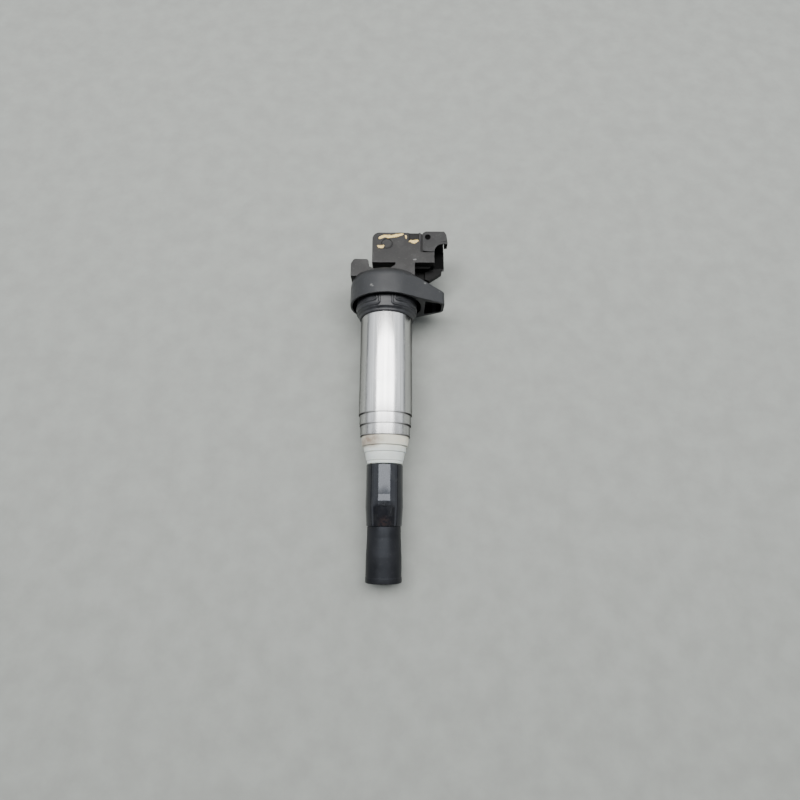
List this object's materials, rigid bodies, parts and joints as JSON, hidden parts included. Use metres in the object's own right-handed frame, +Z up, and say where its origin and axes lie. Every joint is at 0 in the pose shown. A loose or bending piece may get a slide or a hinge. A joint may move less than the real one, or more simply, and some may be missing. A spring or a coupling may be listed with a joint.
{
  "type": "ignition coil",
  "caption": "Pencil ignition coil: round head with ear and side connector under a lock lever, sheet-metal coil tube, stepped insulator and rubber plug boot.",
  "frame": {"origin": "centre of the boot's mouth, on the coil axis", "axes": "+Y along the coil axis from the boot's mouth to the head, +X from the coil axis towards the connector's mouth and the ear, +Z up from the bench that the coil lies on"},
  "size_m": [0.0484, 0.1684, 0.036],
  "materials": {
    "head_plastic": "moulded, fine texture",
    "lever_plastic": "moulded, smooth",
    "terminal_metal": "tin plated",
    "board": "solder resist",
    "chip": "moulded",
    "chip_ceramic": "fired",
    "copper": "drawn",
    "potting": "cast resin",
    "seal_rubber": "moulded",
    "sheet_steel": "rolled, satin",
    "dome_plastic": "satin, slightly translucent",
    "bobbin_plastic": "moulded",
    "bobbin_cream": "moulded",
    "wire": "enamelled",
    "core_steel": "laminated",
    "magnet": "sintered",
    "pad_rubber": "foamed",
    "contact_brass": "turned",
    "resistor_ceramic": "fired",
    "sleeve_plastic": "polished",
    "boot_rubber": "moulded silicone",
    "spring_steel": "drawn wire"
  },
  "bodies": {
    "coil": {"head_housing": "head_plastic", "terminal_ground": "terminal_metal", "terminal_signal": "terminal_metal", "terminal_supply": "terminal_metal", "driver_cover": "head_plastic", "driver_board": "board", "driver_transistor": "chip", "driver_capacitor": "chip_ceramic", "heat_spreader": "copper", "head_potting": "potting", "well_seal": "seal_rubber", "yoke_outer": "sheet_steel", "yoke_middle": "sheet_steel", "yoke_inner": "sheet_steel", "coil_case": "dome_plastic", "case_potting": "potting", "primary_bobbin": "bobbin_plastic", "primary_winding": "wire", "secondary_bobbin": "bobbin_cream", "secondary_winding": "wire", "core_sleeve": "bobbin_plastic", "core_laminations": "core_steel", "upper_magnet": "magnet", "lower_magnet": "magnet", "core_pads": "pad_rubber", "hv_terminal": "contact_brass", "resistor_body": "resistor_ceramic", "resistor_caps": "contact_brass", "boot_sleeve": "sleeve_plastic", "plug_boot": "boot_rubber", "contact_spring": "spring_steel"},
    "lever": {"lock_lever": "lever_plastic"},
    "contact": {"contact_cap": "contact_brass"}
  },
  "joints": [
    {"name": "lever_turn", "type": "hinge", "parent": "coil", "child": "lever", "pos_m": [0.0204, 0.1652, 0], "axis": [0, 0, 1], "range_deg": [0, 90]},
    {"name": "contact_travel", "type": "slide", "parent": "coil", "child": "contact", "axis": [0, 1, 0], "range_m": [0, 0.005], "stiffness_N_per_m": 600, "deforming": ["contact_spring"]}
  ]
}
